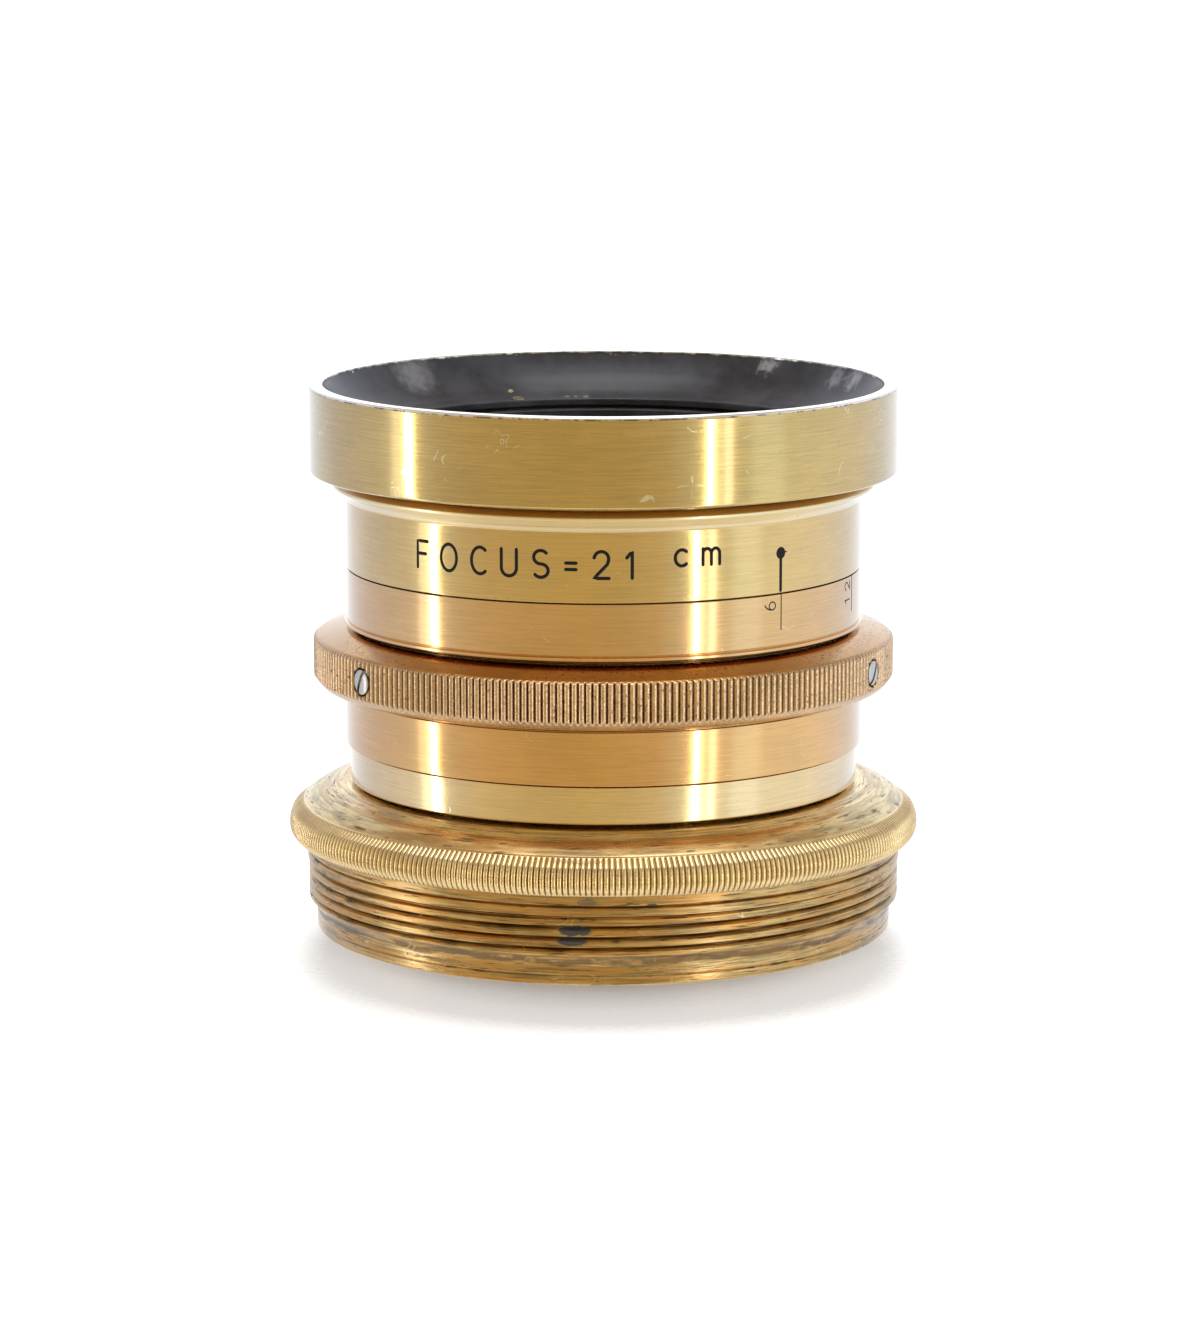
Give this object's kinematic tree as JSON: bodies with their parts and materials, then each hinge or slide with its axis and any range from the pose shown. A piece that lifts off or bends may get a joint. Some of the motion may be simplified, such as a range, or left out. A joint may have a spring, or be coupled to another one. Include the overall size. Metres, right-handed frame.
{
  "type": "brass portrait lens",
  "caption": "Brass portrait lens with a blackened hood, a knurled iris ring with an exposure scale, internal iris blades and a threaded rear flange.",
  "frame": {"origin": "centre of the rear face, on the optical axis, where the lens stands", "axes": "+Z along the optical axis from the rear to the front rim; -Y is the side that carries the index line and the engraving"},
  "size_m": [0.0554, 0.0554, 0.0479],
  "materials": {
    "hood_brass": "polished on the lathe, lightly scratched",
    "barrel_brass": "satin, lacquer gone a little green, filled engraving",
    "pale_brass": "satin, pale yellow",
    "warm_brass": "satin, warm orange lacquer",
    "knurl_brass": "straight knurl, polished tips and dark roots",
    "aged_brass": "uncleaned, mottled brown, dark roots in the thread",
    "blackened_brass": "matt black optical paint",
    "blade_steel": "thin steel, chemically blackened",
    "screw_steel": "slotted heads, slightly dull",
    "optical_glass": "polished, uncoated"
  },
  "bodies": {
    "lens_body": {"hood_ring": "hood_brass", "main_barrel": "barrel_brass", "rear_band": "pale_brass", "adapter_ring": "aged_brass", "front_cell": "blackened_brass", "front_retaining_ring": "blackened_brass", "front_spacer": "blackened_brass", "front_outer_lens": "optical_glass", "front_inner_lens": "optical_glass", "rear_cell": "pale_brass", "rear_retaining_ring": "blackened_brass", "rear_spacer": "blackened_brass", "rear_outer_lens": "optical_glass", "rear_inner_lens": "optical_glass", "iris_base_plate": "blackened_brass", "iris_retaining_ring": "blackened_brass"},
    "iris_ring": {"scale_sleeve": "warm_brass", "knurled_ring": "knurl_brass", "lower_sleeve": "warm_brass", "grip_screw_1": "screw_steel", "grip_screw_2": "screw_steel", "grip_screw_3": "screw_steel", "iris_cam_ring": "blackened_brass"},
    "blade_01": {"iris_blade_01": "blade_steel"},
    "blade_02": {"iris_blade_02": "blade_steel"},
    "blade_03": {"iris_blade_03": "blade_steel"},
    "blade_04": {"iris_blade_04": "blade_steel"},
    "blade_05": {"iris_blade_05": "blade_steel"},
    "blade_06": {"iris_blade_06": "blade_steel"},
    "blade_07": {"iris_blade_07": "blade_steel"},
    "blade_08": {"iris_blade_08": "blade_steel"},
    "blade_09": {"iris_blade_09": "blade_steel"},
    "blade_10": {"iris_blade_10": "blade_steel"},
    "blade_11": {"iris_blade_11": "blade_steel"},
    "blade_12": {"iris_blade_12": "blade_steel"}
  },
  "joints": [
    {"name": "iris_turn", "type": "hinge", "parent": "lens_body", "child": "iris_ring", "pos_m": [0, 0, 0.0239], "axis": [0, 0, -1], "range_deg": [0, 78.8]},
    {"name": "blade_01_swing", "type": "hinge", "parent": "lens_body", "child": "blade_01", "pos_m": [0.0183, 0, 0.0195], "axis": [0, 0, -1], "range_deg": [0, 32.53]},
    {"name": "blade_02_swing", "type": "hinge", "parent": "lens_body", "child": "blade_02", "pos_m": [0.01585, 0.00915, 0.0195], "axis": [0, 0, -1], "range_deg": [0, 32.53]},
    {"name": "blade_03_swing", "type": "hinge", "parent": "lens_body", "child": "blade_03", "pos_m": [0.00915, 0.01585, 0.0195], "axis": [0, 0, -1], "range_deg": [0, 32.53]},
    {"name": "blade_04_swing", "type": "hinge", "parent": "lens_body", "child": "blade_04", "pos_m": [0, 0.0183, 0.0195], "axis": [0, 0, -1], "range_deg": [0, 32.53]},
    {"name": "blade_05_swing", "type": "hinge", "parent": "lens_body", "child": "blade_05", "pos_m": [-0.00915, 0.01585, 0.0195], "axis": [0, 0, -1], "range_deg": [0, 32.53]},
    {"name": "blade_06_swing", "type": "hinge", "parent": "lens_body", "child": "blade_06", "pos_m": [-0.01585, 0.00915, 0.0195], "axis": [0, 0, -1], "range_deg": [0, 32.53]},
    {"name": "blade_07_swing", "type": "hinge", "parent": "lens_body", "child": "blade_07", "pos_m": [-0.0183, 0, 0.0195], "axis": [0, 0, -1], "range_deg": [0, 32.53]},
    {"name": "blade_08_swing", "type": "hinge", "parent": "lens_body", "child": "blade_08", "pos_m": [-0.01585, -0.00915, 0.0195], "axis": [0, 0, -1], "range_deg": [0, 32.53]},
    {"name": "blade_09_swing", "type": "hinge", "parent": "lens_body", "child": "blade_09", "pos_m": [-0.00915, -0.01585, 0.0195], "axis": [0, 0, -1], "range_deg": [0, 32.53]},
    {"name": "blade_10_swing", "type": "hinge", "parent": "lens_body", "child": "blade_10", "pos_m": [0, -0.0183, 0.0195], "axis": [0, 0, -1], "range_deg": [0, 32.53]},
    {"name": "blade_11_swing", "type": "hinge", "parent": "lens_body", "child": "blade_11", "pos_m": [0.00915, -0.01585, 0.0195], "axis": [0, 0, -1], "range_deg": [0, 32.53]},
    {"name": "blade_12_swing", "type": "hinge", "parent": "lens_body", "child": "blade_12", "pos_m": [0.01585, -0.00915, 0.0195], "axis": [0, 0, -1], "range_deg": [0, 32.53]}
  ],
  "couplings": [
    {"joint": "blade_01_swing", "follows": "iris_turn", "ratio": 0.41258},
    {"joint": "blade_02_swing", "follows": "iris_turn", "ratio": 0.41258},
    {"joint": "blade_03_swing", "follows": "iris_turn", "ratio": 0.41258},
    {"joint": "blade_04_swing", "follows": "iris_turn", "ratio": 0.41258},
    {"joint": "blade_05_swing", "follows": "iris_turn", "ratio": 0.41258},
    {"joint": "blade_06_swing", "follows": "iris_turn", "ratio": 0.41258},
    {"joint": "blade_07_swing", "follows": "iris_turn", "ratio": 0.41258},
    {"joint": "blade_08_swing", "follows": "iris_turn", "ratio": 0.41258},
    {"joint": "blade_09_swing", "follows": "iris_turn", "ratio": 0.41258},
    {"joint": "blade_10_swing", "follows": "iris_turn", "ratio": 0.41258},
    {"joint": "blade_11_swing", "follows": "iris_turn", "ratio": 0.41258},
    {"joint": "blade_12_swing", "follows": "iris_turn", "ratio": 0.41258}
  ]
}
